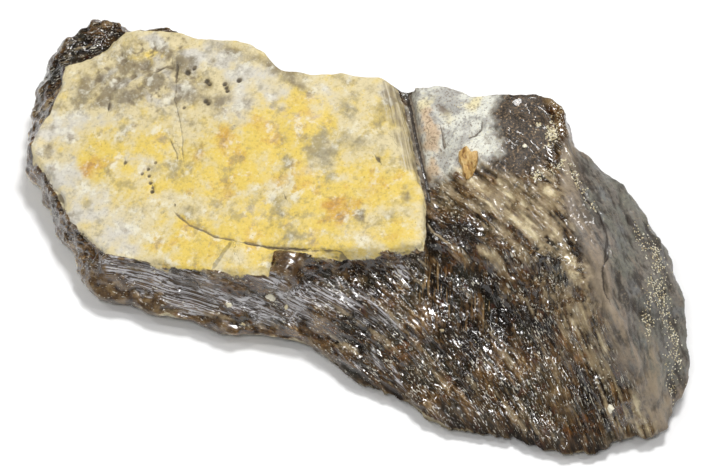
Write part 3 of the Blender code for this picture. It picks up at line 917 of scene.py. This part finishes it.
@dataclass(frozen=True)
class SplitBone:
    """Finish of the dark, glossy inner bone: streaks along the grain, amber and silver among them."""

    black: tuple = shade(20, 15, 10)
    dark: tuple = shade(46, 34, 22)
    brown: tuple = shade(92, 67, 38)
    tan: tuple = shade(152, 122, 80)
    pale: tuple = shade(214, 200, 164)
    amber: tuple = shade(122, 76, 32)
    red: tuple = shade(88, 44, 28)
    olive: tuple = shade(58, 56, 42)
    gold: tuple = shade(222, 206, 166)
    gold_brown: tuple = shade(164, 145, 112)
    silver: tuple = shade(206, 204, 206)
    silver_ground: tuple = shade(84, 75, 67)

    def colour(self, g: Graph) -> Socket:
        """The inner bone's colour.

        Args:
            g: the tree to add to.

        Returns:
            A colour socket.
        """
        place, grain = g.place(), g.grain()
        broad = g.noise(place, 5.0, 3.0)
        wide = g.noise(grain, (4.0, 1.3, 1.6), 4.0, 0.6)
        fine = g.noise(grain, (0.9, 0.34, 0.4), 4.0, 0.7)
        steep = g.noise(g.turned(place, 68.0), (6.0, 0.5, 3.0), 3.0, 0.65)
        fine = g.level(g.eased(g.field("canals"), -1.0, 1.0), fine, steep)
        tone = g.plus(g.times(broad, 0.25), g.times(wide, 0.35), g.times(fine, 0.4), -0.004)
        # Painted shade and light: darker in hollows and paler on ridges, from the hollowness field; the black
        # field darkens too, and painted shade is among its places.
        tone = g.plus(tone, g.times(g.field("hollowness"), -0.3), g.times(g.field("black"), -0.13))
        tones = (self.black, self.dark, self.brown, self.tan, self.pale)
        base = g.ramp(tone, tuple(zip((0.36, 0.45, 0.54, 0.62, 0.7), tones)))
        olive = g.eased(g.noise(place, 4.0, 2.0), 0.5, 0.62)
        base = g.over(base, (self.olive, olive, 0.4))
        red = g.eased(g.noise(place, 1.9, 3.0), 0.6, 0.7)
        base = g.over(base, (self.red, red, 0.4))
        spots = g.noise(place, 1.3, 3.0, 0.6)
        amber = g.plus(g.times(g.field("amber"), 0.7), g.centred(spots, 2.6))
        share = g.times(g.eased(amber, 0.36, 0.9), g.eased(fine, 0.3, 0.6), 0.7)
        base = g.blend(share, base, self.amber)
        rods = g.eased(g.noise(g.turned(place, 68.0), (5.0, 0.34, 3.0), 2.0), 0.58, 0.66)
        rods = g.times(rods, g.eased(g.field("canals"), -0.5, 0.8), g.eased(broad, 0.4, 0.55))
        base = g.over(base, (self.tan, rods, 0.8))
        return self.resin_and_painted_glints(g, self.streaked(g, base))

    def resin_and_painted_glints(self, g: Graph, base: Socket) -> Socket:
        """Adds the honey-brown glassy lobes and the painted glints: pale specks in the colour that stand for
        highlights.

        Args:
            g: the tree to add to.
            base: the colour so far.

        Returns:
            A colour socket.
        """
        place, grain = g.place(), g.grain()
        cloudy = g.noise(place, 1.6, 4.0, 0.6)
        stops = ((0.36, shade(44, 30, 18)), (0.5, shade(88, 66, 40)), (0.62, shade(132, 108, 72)))
        resin = g.eased(g.plus(g.field("resin"), g.centred(cloudy, 0.8)), 0.3, 0.8)
        base = g.over(base, (g.ramp(cloudy, stops), resin, 0.9))
        # Painted glints: pale specks in the colour that stand for highlights, most where the glint field is
        # strong.
        spots = g.noise(grain, (0.62, 0.24, 0.3), 3.0, 0.6)
        where = g.plus(g.times(g.field("glint"), 0.06), g.times(g.noise(place, 1.7, 3.0, 0.6), 0.3))
        spots = g.eased(g.plus(spots, where), 0.785, 0.845)
        return g.over(base, (shade(226, 220, 202), spots, 0.85))

    def streaked(self, g: Graph, base: Socket) -> Socket:
        """Adds the gold streaks of the upper slope and the silver fibres of the front.

        Args:
            g: the tree to add to.
            base: the colour so far.

        Returns:
            A colour socket.
        """
        place, grain = g.place(), g.grain()
        strip = g.noise(grain, (8.0, 1.4, 1.8), 3.0, 0.5)
        mottle = g.noise(place, 0.9, 4.0, 0.65)
        gold = g.plus(g.field("gold"), g.centred(strip, 3.0), g.centred(mottle, 1.2))
        base = g.over(
            base,
            (self.gold_brown, g.eased(gold, 0.2, 0.8), 0.85),
            (self.gold, g.eased(gold, 0.75, 1.3), 0.9),
        )
        bare = g.plus(g.field("silver"), g.centred(g.noise(grain, (5.0, 1.2, 1.4), 4.0), 2.4))
        bare = g.eased(bare, 0.35, 0.95)
        base = g.over(base, (self.silver_ground, bare, 0.6))
        waved = g.shifted(grain, g.centred(g.noise(grain, (9.0, 4.0, 4.0), 1.0), 0.9))
        long = g.eased(g.noise(waved, (20.0, 0.24, 0.34), 2.0, 0.5), 0.5, 0.6)
        short = g.eased(g.noise(waved, (8.0, 0.16, 0.22), 2.0, 0.5), 0.53, 0.62)
        fibres = g.math("MAXIMUM", long, g.times(short, 0.8))
        return g.over(base, (self.silver, fibres, bare, 0.9))


@dataclass(frozen=True)
class OuterBone:
    """Finish of the smooth outer bone: cream, stained yellow and orange, with grey and taupe clouds."""

    cream: tuple = shade(219, 204, 160)
    yellow: tuple = shade(228, 200, 98)
    gold: tuple = shade(214, 172, 76)
    orange: tuple = shade(200, 146, 62)
    pale: tuple = shade(209, 206, 199)
    grey: tuple = shade(142, 134, 112)
    taupe: tuple = shade(122, 108, 84)
    white: tuple = shade(240, 236, 216)
    speck: tuple = shade(104, 84, 56)

    def colour(self, g: Graph) -> Socket:
        """The outer bone's colour.

        Args:
            g: the tree to add to.

        Returns:
            A colour socket.
        """
        place = g.place()
        broad = g.noise(place, 4.0, 5.0, 0.62)
        mid = g.noise(place, 1.7, 4.0, 0.6)
        fine = g.noise(place, 0.5, 4.0, 0.65)
        cloud = g.noise(place, 2.6, 5.0, 0.58)
        yellow = g.plus(g.field("yellow"), g.centred(broad, 1.6), g.centred(mid, 1.8))
        colour = g.blend(g.eased(yellow, -0.1, 0.8), self.cream, self.yellow)
        deep = g.plus(g.times(g.field("yellow"), 0.5), g.centred(cloud, 2.6), g.centred(mid, 1.4))
        colour = g.over(colour, (self.gold, g.eased(deep, 0.35, 1.0), 0.7))
        patchy = g.plus(g.centred(cloud, 1.7), g.centred(mid, 0.9), g.centred(fine, 0.4))
        for name, tone, reach, soft in (
            ("pale", self.pale, 0.85, 0.9), ("orange", self.orange, 0.8, 1.1), ("grey", self.grey, 0.75, 0.9),
            ("taupe", self.taupe, 0.8, 0.9),
        ):
            share = g.eased(g.plus(g.field(name), patchy), 0.2, 0.2 + soft)
            colour = g.over(colour, (tone, share, reach))
        weak = g.times(g.eased(g.noise(place, 3.0, 5.0, 0.65), 0.5, 0.62), g.eased(mid, 0.42, 0.6))
        colour = g.over(colour, (self.grey, weak, 0.5))
        light = g.times(g.eased(g.noise(place, 2.6, 5.0, 0.65), 0.5, 0.64), g.eased(mid, 0.56, 0.42))
        colour = g.over(
            colour,
            (self.white, light, 0.6),
            (self.taupe, g.eased(fine, 0.5, 0.7), 0.3),
            (self.white, g.eased(fine, 0.46, 0.3), 0.25),
        )
        lines = g.noise(g.turned(place, 58.0), (6.0, 0.32, 3.0), 4.0, 0.62)
        strip = g.eased(g.plus(g.field("strip"), g.centred(mid, 0.6)), 0.2, 0.8)
        colour = g.over(
            colour,
            (self.taupe, strip, 0.4),
            (self.taupe, strip, g.eased(lines, 0.46, 0.6), 0.7),
            (self.pale, strip, g.eased(lines, 0.46, 0.34), 0.6),
        )
        # Painted shade: taupe darkening in the hollows, from the hollowness field.
        low = g.eased(g.plus(g.field("hollowness"), g.centred(fine, 0.06)), 0.02, 0.12)
        colour = g.over(colour, (self.taupe, low, 0.8))
        specks = g.eased(g.cells(place, 0.7).outputs["Distance"], 0.16, 0.06)
        rare = g.eased(g.noise(place, 2.2, 2.0), 0.52, 0.64)
        return g.over(
            colour,
            (self.speck, specks, rare, 0.55),
            # Painted shade: the vessel pits darkened.
            (shade(48, 40, 30), g.eased(g.field("pit"), 0.18, 0.42), 0.8),
        )


@dataclass(frozen=True)
class WornFlank:
    """Finish of the worn grey flank: taupe and green-grey streaks along the crest."""

    grey: tuple = shade(124, 118, 109)
    green: tuple = shade(118, 117, 106)
    taupe: tuple = shade(144, 129, 115)
    dark: tuple = shade(56, 48, 42)
    gold: tuple = shade(168, 151, 124)
    blue: tuple = shade(120, 122, 122)

    def colour(self, g: Graph) -> Socket:
        """The flank's colour.

        Args:
            g: the tree to add to.

        Returns:
            A colour socket.
        """
        place = g.place()
        clouds = g.noise(place, 5.0, 5.0, 0.65)
        slanted = g.turned(place, -52.0)
        streaks = g.noise(slanted, (1.3, 8.0, 4.0), 5.0, 0.66)
        fine = g.noise(place, 0.5, 4.0, 0.68)
        colour = g.blend(g.eased(clouds, 0.42, 0.56), self.grey, self.green)
        colour = g.over(colour, (self.blue, g.eased(g.noise(place, 3.0, 5.0), 0.52, 0.64), 0.6))
        near_crest = g.eased(g.field("flank"), 6.0, 1.0)
        warm = g.plus(g.times(near_crest, 0.5), g.centred(streaks, 2.4))
        colour = g.over(colour, (self.taupe, g.eased(warm, 0.05, 0.6), 0.85))
        dark = g.eased(g.noise(slanted, (2.0, 7.0, 4.0), 5.0, 0.66), 0.47, 0.6)
        colour = g.over(
            colour,
            (self.dark, dark, 0.8),
            (self.dark, g.eased(fine, 0.5, 0.68), 0.5),
            (self.gold, g.eased(fine, 0.46, 0.3), 0.45),
        )
        # Painted shade: darker in the hollows, from the hollowness field.
        low = g.eased(g.field("hollowness"), 0.02, 0.12)
        colour = g.over(colour, (self.dark, low, 0.7))
        gold = g.times(g.eased(g.field("flank"), 4.0, 0.0), g.eased(streaks, 0.42, 0.58))
        amber = g.eased(g.plus(g.field("gold"), g.centred(streaks, 1.5)), 0.3, 1.0)
        return g.over(colour, (self.gold, g.math("MAXIMUM", gold, amber), 0.65))


@dataclass(frozen=True)
class PalePatch:
    """Finish of the block's top: a white and blue-grey patch, then smooth dark brown bone."""

    white: tuple = shade(226, 226, 214)
    blue: tuple = shade(172, 170, 164)
    cream: tuple = shade(236, 224, 178)
    pink: tuple = shade(204, 176, 142)
    brown: tuple = shade(112, 92, 68)
    dark: tuple = shade(50, 42, 33)
    lilac: tuple = shade(82, 74, 66)

    def patch(self, g: Graph) -> Socket:
        """The pale patch's colour.

        Args:
            g: the tree to add to.

        Returns:
            A colour socket.
        """
        place = g.place()
        mid = g.noise(place, 1.4, 4.0, 0.65)
        fine = g.noise(place, 0.4, 3.0, 0.65)
        colour = g.blend(g.eased(mid, 0.38, 0.6), self.blue, self.white)
        tones = (self.blue, self.white, self.cream, self.pink)
        for name, tone in zip(("grey", "pale", "yellow", "taupe"), tones):
            share = g.eased(g.plus(g.field(name), g.centred(mid, 1.2)), 0.2, 0.9)
            colour = g.over(colour, (tone, share, 0.85))
        colour = g.over(
            colour,
            (self.cream, g.eased(fine, 0.46, 0.3), 0.4),
            (self.brown, g.eased(fine, 0.5, 0.66), 0.65),
        )
        # Painted shade: browner in the hollows, from the hollowness field.
        low = g.eased(g.field("hollowness"), 0.03, 0.14)
        return g.over(colour, (self.brown, low, 0.7))

    def dark_end(self, g: Graph) -> Socket:
        """The block's dark end's colour.

        Args:
            g: the tree to add to.

        Returns:
            A colour socket.
        """
        place = g.place()
        mid = g.noise(place, 1.8, 4.0, 0.65)
        fine = g.noise(place, 0.36, 3.0, 0.7)
        colour = g.blend(g.eased(mid, 0.4, 0.62), self.dark, self.lilac)
        return g.over(
            colour,
            (self.brown, g.eased(fine, 0.48, 0.6), 0.8),
            (shade(36, 30, 24), g.eased(fine, 0.46, 0.36), 0.8),
            (self.pink, g.eased(fine, 0.59, 0.7), 0.7),
        )


@dataclass
class BoneMaterial:
    """The bone's material: each finish shows where its field says, with ragged edges."""

    split: SplitBone = field(default_factory=SplitBone)
    outer: OuterBone = field(default_factory=OuterBone)
    flank: WornFlank = field(default_factory=WornFlank)
    block: PalePatch = field(default_factory=PalePatch)
    crack_brown: tuple = shade(38, 28, 20)
    # Painted shade: the colour laid over the foot, darkest by the table.
    foot_painted_shade: tuple = shade(24, 19, 14)

    def build(self) -> bpy.types.Material:
        """Makes the material.

        Returns:
            The finished material.
        """
        material, g, shader = new_material("fossil_bone")
        ragged = g.centred(g.noise(g.place(), 0.8, 4.0, 0.6), 1.2)
        outer = self.mask(g, "outer", g.times(ragged, 0.5), -0.12, 0.05)
        patch = self.mask(g, "patch", g.times(ragged, 2.4), -1.2, 0.9)
        dark_end = self.mask(g, "block_dark", ragged, -1.0, 0.8)
        flank = self.mask(g, "flank", ragged, -0.6, 1.0)

        colour = g.over(self.split.colour(g), (self.flank.colour(g), flank))
        colour = g.over(
            colour,
            (self.block.dark_end(g), dark_end),
            (self.block.patch(g), patch),
            (self.outer.colour(g), outer),
            # Painted shade: the foot darkened towards the table.
            (self.foot_painted_shade, g.field("foot"), 0.8),
        )
        g.feed(shader.inputs["Base Color"], g.over(colour, (self.crack_brown, self.crack(g))))

        dry = smooth_bone = g.math("MAXIMUM", outer, patch)
        golden = g.eased(g.field("gold"), 0.3, 0.9)
        for share, dryness in ((flank, 0.8), (dark_end, 0.72), (golden, 0.6), (g.field("foot"), 1.0)):
            dry = g.math("MAXIMUM", dry, g.times(share, dryness))
        wet = g.noise(g.grain(), (2.0, 0.5, 0.6), 2.0)
        rough = g.level(dry, g.level(wet, 0.05, 0.26), 0.6)
        g.feed(shader.inputs["Roughness"], g.level(g.field("foot"), rough, 1.0))
        g.feed(shader.inputs["Coat Weight"], g.level(dry, 0.8, 0.0))
        shader.inputs["Coat Roughness"].default_value = 0.07
        shader.inputs["Coat IOR"].default_value = 1.6
        shader.inputs["Specular IOR Level"].default_value = 0.4
        g.feed(shader.inputs["Normal"], self.relief(g, dry, smooth_bone))
        return material

    def mask(self, g: Graph, name: str, ragged: Socket, low: float, high: float) -> Socket:
        """Where one kind of bone shows, with a ragged edge."""
        return g.eased(g.plus(g.field(name), ragged), low, high)

    def crack(self, g: Graph) -> Socket:
        """The thin dark lines of the cracks.

        Args:
            g: the tree to add to.

        Returns:
            How dark the crack is at each place, from 0 to 1.
        """
        wander = g.centred(g.noise(g.place(), 0.6, 3.0), 0.4)
        away = g.math("ABSOLUTE", g.plus(g.field("crack_offset"), wander))
        edge = g.math("SUBTRACT", g.field("crack_width"), away)
        return g.times(g.eased(edge, -0.08, 0.04), g.field("crack_tone"))

    def relief(self, g: Graph, dry: Socket, smooth_bone: Socket) -> Socket:
        """The finest relief: facets that catch the light on split bone, fine pores on outer bone.

        Args:
            g: the tree to add to.
            dry: 1 where the bone is dull.
            smooth_bone: 1 on the outer bone and the pale patch.

        Returns:
            A normal socket.
        """
        place, grain = g.place(), g.grain()
        splinters = g.noise(grain, (0.9, 0.3, 0.34), 4.0, 0.72)
        pores = g.noise(place, 0.35, 3.0, 0.6)
        height = g.level(smooth_bone, splinters, g.times(pores, 0.3))
        bump = g.add("Bump")
        bump.inputs["Distance"].default_value = 0.2 * MM
        bump.inputs["Strength"].default_value = 0.8
        g.feed(bump.inputs["Height"], height)
        tilt = g.vector("SUBTRACT", g.cells(grain, (0.6, 0.28, 0.32)).outputs["Color"], (0.5, 0.5, 0.5))
        sparkle = g.plus(0.5, g.times(g.field("glint"), 0.6))
        sparkle = g.times(sparkle, g.eased(g.noise(place, 2.0, 2.0), 0.3, 0.55))
        amount = g.vector("MULTIPLY", tilt, g.times(sparkle, g.math("SUBTRACT", 1.0, dry)))
        return g.vector("NORMALIZE", g.vector("ADD", bump.outputs["Normal"], amount))


@dataclass(frozen=True)
class Lamp:
    """One soft square light aimed at the bone: where it stands, its side in metres and its power."""

    name: str
    azimuth: float
    elevation: float
    size: float
    power: float
    distance: float = 0.6


@dataclass
class Studio:
    """Pale table, soft lights and the camera at the photograph's angle."""

    azimuth: float = 22.0
    elevation: float = 55.0
    distance: float = 500.0
    aim: Place3 = (2.08, -3.45, 12.0)
    view_width: float = 106.2
    sensor: float = 36.0
    table_size: float = 3.0
    horizon: float = 0.08
    zenith: float = 0.34
    lamps: tuple[Lamp, ...] = (
        Lamp("key", 165.0, 74.0, 0.11, 2.0),
        Lamp("right", 85.0, 64.0, 0.05, 0.32),
        Lamp("left", 300.0, 62.0, 0.05, 0.32),
        Lamp("front", 12.0, 60.0, 0.08, 0.72),
        Lamp("back", 200.0, 58.0, 0.045, 0.25),
    )

    def build(self) -> None:
        """Sets up the table, the lights, the surround and the camera."""
        self.table()
        for lamp in self.lamps:
            self.light(lamp)
        self.light_surround()
        self.camera()
        bpy.context.scene.view_settings.view_transform = "Standard"
        log.info("studio: camera %.0f mm away, %d lamps", self.distance, len(self.lamps))

    def direction(self, azimuth: float, elevation: float) -> Vector:
        """Unit vector from the bone towards an azimuth and elevation, in degrees."""
        turn, rise = math.radians(azimuth), math.radians(elevation)
        flat = math.cos(rise)
        return Vector((math.sin(turn) * flat, -math.cos(turn) * flat, math.sin(rise)))

    def table(self) -> None:
        """A plain pale table top."""
        mesh = bmesh.new()
        bmesh.ops.create_grid(mesh, x_segments=1, y_segments=1, size=self.table_size / 2.0)
        top = piece_from(mesh, "table")
        paint, _, shader = new_material("table_white")
        shader.inputs["Base Color"].default_value = (0.98, 0.98, 0.98, 1.0)
        shader.inputs["Roughness"].default_value = 0.9
        shader.inputs["Specular IOR Level"].default_value = 0.1
        top.data.materials.append(paint)

    def light(self, lamp: Lamp) -> None:
        """Sets up one light."""
        data = bpy.data.lights.new(lamp.name, "AREA")
        data.size = lamp.size
        data.energy = lamp.power
        towards = self.direction(lamp.azimuth, lamp.elevation)
        holder = bpy.data.objects.new(lamp.name, data)
        holder.location = towards * lamp.distance
        holder.rotation_euler = towards.to_track_quat("Z", "Y").to_euler()
        bpy.context.scene.collection.objects.link(holder)

    def light_surround(self) -> None:
        """A white dome, brightest overhead, which the gloss doesn't mirror."""
        surround = bpy.data.worlds.new("surround")
        surround.use_nodes = True
        g = Graph(surround.node_tree)
        axes = g.add("SeparateXYZ")
        g.feed(axes.inputs[0], g.add("TexCoord").outputs["Generated"])
        strength = g.level(g.eased(axes.outputs["Z"], 0.0, 1.0), self.horizon, self.zenith)
        sky = surround.node_tree.nodes["Background"]
        sky.inputs["Color"].default_value = (1.0, 1.0, 1.0, 1.0)
        g.feed(sky.inputs["Strength"], strength)
        surround.cycles_visibility.glossy = False
        bpy.context.scene.world = surround

    def camera(self) -> None:
        """The camera, looking down at the bone from the front right."""
        data = bpy.data.cameras.new("camera")
        data.sensor_width = self.sensor
        data.lens = self.sensor * self.distance / self.view_width
        data.clip_start = 0.01
        holder = bpy.data.objects.new("camera", data)
        towards = self.direction(self.azimuth, self.elevation)
        holder.location = Vector(self.aim) * MM + towards * self.distance * MM
        holder.rotation_euler = towards.to_track_quat("Z", "Y").to_euler()
        bpy.context.scene.collection.objects.link(holder)
        bpy.context.scene.camera = holder


@dataclass(frozen=True)
class SandPatch:
    """A patch of clinging sand: middle, half length and half width, turn, grains and their radius."""

    place: Place
    length: float
    width: float
    turn: float
    grains: int
    radius: float = 0.17


@dataclass
class ClingingSand:
    """Pale grains of sand stuck to the flank and to the block, with a few larger crumbs."""

    skin: bpy.types.Object
    seed: int = 11
    crumb_radius: float = 0.28
    patches: tuple[SandPatch, ...] = tuple(
        SandPatch((x, y), *rest) for x, y, *rest in (
            (26.4, 15.6, 2.4, 0.9, 100, 120, 0.14), (24, 16.2, 1, 0.5, 60, 16, 0.14),
            (26.6, 8.6, 1.3, 0.8, 30, 36, 0.13), (29, 10.8, 1.6, 0.7, 60, 36, 0.13),
            (32.5, 10, 3.4, 0.7, -50, 60, 0.12), (36.2, 6.7, 2.4, 0.5, -60, 16, 0.12),
            (43.7, 7.5, 2.4, 0.9, -50, 40, 0.1), (46.6, 6.8, 3, 1.2, -50, 110, 0.1),
            (49.5, 1.5, 4, 1.5, -60, 150, 0.1), (47.9, 0.5, 2.4, 1.2, -70, 70, 0.095),
            (48.6, -3.2, 2.6, 0.9, -70, 70, 0.095), (53.3, -2.5, 3.6, 1, -60, 100, 0.1),
            (54, -6.5, 2.4, 0.8, -60, 60, 0.1), (12, 16.4, 1.6, 0.8, 0, 10, 0.1),
            (46, -13, 5, 2.5, -45, 24, 0.1), (30, -15, 9, 3, -20, 24, 0.1),
        )
    )
    crumbs: tuple[tuple[float, float, float], ...] = (
        (-11.4, -18.8, 0.5), (-5.7, -16.3, 0.6), (47.6, -15, 0.75), (-8.8, -19.8, 0.34),
        (-3.1, -16.5, 0.36), (23.4, 12.4, 0.3), (20.5, -13.2, 0.3), (8, -14.5, 0.25),
    )
    tones: list[float] = field(init=False, default_factory=list)
    balls: list[bmesh.types.BMesh] = field(init=False, default_factory=list)
    limits: tuple[Vector, Vector] = field(init=False)

    def build(self) -> bpy.types.Object:
        """Makes all the grains as one piece.

        Returns:
            The finished object.
        """
        ground = BVHTree.FromObject(self.skin, bpy.context.evaluated_depsgraph_get())
        random = np.random.default_rng(self.seed)
        self.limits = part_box(NODE)
        for fineness in (1, 2):
            ball = bmesh.new()
            bmesh.ops.create_icosphere(ball, subdivisions=fineness, radius=1.0)
            ball.verts.index_update()
            self.balls.append(ball)
        mesh = bmesh.new()
        for patch in self.patches:
            cosine, sine = math.cos(math.radians(patch.turn)), math.sin(math.radians(patch.turn))
            for along, across, size in random.normal(0.0, 0.5, (patch.grains, 3)).tolist():
                x = patch.place[0] + along * patch.length * cosine - across * patch.width * sine
                y = patch.place[1] + along * patch.length * sine + across * patch.width * cosine
                self.add_grain(mesh, ground, random, (x, y), patch.radius * (1.0 + 0.35 * abs(size)))
        for x, y, radius in self.crumbs:
            self.add_grain(mesh, ground, random, (x, y), radius)
        piece = piece_from(mesh, "sand_grains")
        tone = piece.data.attributes.new("tone", "FLOAT", "POINT")
        tone.data.foreach_set("value", np.array(self.tones, np.float32))
        piece.data.materials.append(SandFinish().build())
        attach(piece, "root")
        log.info("%s: %d faces", piece.name, len(piece.data.polygons))
        return piece

    def add_grain(
        self, mesh: bmesh.types.BMesh, ground: BVHTree, random: np.random.Generator,
        place: Place, radius: float,
    ) -> None:
        """Sets one angular grain on the bone below a place in plan.

        Args:
            mesh: the mesh that takes the grain.
            ground: the bone's surface.
            random: where the chance comes from.
            place: the place in plan, in the layout's millimetres.
            radius: half of the grain's width, in millimetres.
        """
        foot, normal = ground_below(ground, place)
        if foot is None:
            return
        low, high = self.limits
        shape = Vector(random.uniform(0.6, 1.2, 3).tolist())
        start = random.uniform(0.0, 90.0)
        tone = random.uniform(0.0, 1.0)
        made = []
        ball = self.balls[1 if radius > self.crumb_radius else 0]
        for corner in ball.verts:
            bumpy = 1.0 + 0.8 * noise.noise(corner.co * 1.1 + Vector((start, 0.0, 0.0)))
            spot = foot + (normal * 0.1 + corner.co * shape * bumpy) * radius * MM
            spot = Vector([min(max(v, a), b) for v, a, b in zip(spot, low, high)])
            made.append(mesh.verts.new(spot))
            self.tones.append(tone)
        for face in ball.faces:
            mesh.faces.new([made[corner.index] for corner in face.verts])


@dataclass
class OchreFlake:
    """A flake of ochre matrix stuck beside the pale patch."""

    skin: bpy.types.Object
    outline: tuple[Place, ...] = (
        (14.2, 9.4), (15, 10.3), (16, 9.6), (16.9, 9.9), (17.5, 8.6), (17.3, 7.2), (16.7, 6), (15.9, 6.6),
        (15.4, 7.6), (14.6, 8.2),
    )
    lift: float = 0.75
    sunk: float = 0.2
    roughness: float = 0.09

    def build(self) -> bpy.types.Object:
        """Makes the flake.

        Returns:
            The finished object.
        """
        ground = BVHTree.FromObject(self.skin, bpy.context.evaluated_depsgraph_get())
        middle = np.mean(np.array(self.outline), axis=0)
        mesh = bmesh.new()
        rings = []
        rises = (-self.sunk, 0.35 * self.lift, self.lift, 1.2 * self.lift)
        for share, rise in zip((0.95, 1.0, 0.86, 0.45), rises):
            ring = []
            for number, (x, y) in enumerate(self.outline):
                uneven = 0.12 * math.sin(number * 2.4)
                spot = (middle[0] + share * (x - middle[0]), middle[1] + share * (y - middle[1]))
                height = (rise + uneven * max(rise, 0.0)) * MM
                ring.append(mesh.verts.new(ground_below(ground, spot)[0] + Vector((0.0, 0.0, height))))
            rings.append(ring)
        for lower, upper in zip(rings, rings[1:]):
            for a, b, c, d in zip(lower, lower[1:] + lower[:1], upper[1:] + upper[:1], upper):
                mesh.faces.new((a, b, c, d))
        mesh.faces.new(rings[-1])
        mesh.faces.new(list(reversed(rings[0])))
        bmesh.ops.recalc_face_normals(mesh, faces=mesh.faces)
        bmesh.ops.triangulate(mesh, faces=mesh.faces)
        bmesh.ops.subdivide_edges(mesh, edges=mesh.edges, cuts=2, use_grid_fill=True, smooth=0.3)
        for vertex in mesh.verts:
            swell = noise.fractal(vertex.co / (0.5 * MM), 1.0, 2.0, 3)
            vertex.co += vertex.normal * self.roughness * MM * swell
        piece = piece_from(mesh, "ochre_flake")
        piece.data.materials.append(FlakeFinish().build())
        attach(piece, "root")
        log.info("%s: %d faces", piece.name, len(piece.data.polygons))
        return piece


@dataclass(frozen=True)
class SandFinish:
    """Finish of the sand: each grain cream, straw or tan, with a little mottling."""

    cream: tuple = shade(238, 232, 210)
    straw: tuple = shade(220, 208, 170)
    tan: tuple = shade(172, 154, 118)

    def build(self) -> bpy.types.Material:
        """Makes the material.

        Returns:
            The finished material.
        """
        material, g, shader = new_material("sand")
        place = g.place()
        tone = g.plus(g.field("tone"), g.centred(g.noise(place, 0.2, 2.0), 0.8))
        stops = ((0.05, self.tan), (0.4, self.straw), (0.8, self.cream))
        g.feed(shader.inputs["Base Color"], g.ramp(tone, stops))
        g.feed(shader.inputs["Roughness"], g.level(g.noise(place, 0.3, 1.0), 0.35, 0.7))
        return material


@dataclass(frozen=True)
class FlakeFinish:
    """Finish of the flake: ochre with darker veins and a dull gloss."""

    ochre: tuple = shade(206, 166, 100)
    light: tuple = shade(226, 198, 140)
    brown: tuple = shade(134, 96, 54)

    def build(self) -> bpy.types.Material:
        """Makes the material.

        Returns:
            The finished material.
        """
        material, g, shader = new_material("ochre_flake")
        place = g.place()
        streaks = g.noise(g.turned(place, 60.0), (1.6, 0.5, 0.8), 4.0, 0.65)
        stops = ((0.36, self.brown), (0.5, self.ochre), (0.66, self.light))
        g.feed(shader.inputs["Base Color"], g.ramp(streaks, stops))
        g.feed(shader.inputs["Roughness"], g.level(streaks, 0.3, 0.55))
        bump = g.add("Bump")
        bump.inputs["Distance"].default_value = 0.1 * MM
        g.feed(bump.inputs["Height"], streaks)
        g.feed(shader.inputs["Normal"], bump.outputs["Normal"])
        return material


def main() -> None:
    """Builds the studio and the bone, in order."""
    logging.basicConfig(level=logging.INFO)
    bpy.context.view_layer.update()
    Studio().build()
    skin = BoneSkin(Layout(), Grain())
    bone = skin.build()
    bone.data.materials.clear()
    bone.data.materials.append(BoneMaterial().build())
    ClingingSand(bone).build()
    OchreFlake(bone).build()


if __name__ == "__main__":
    main()
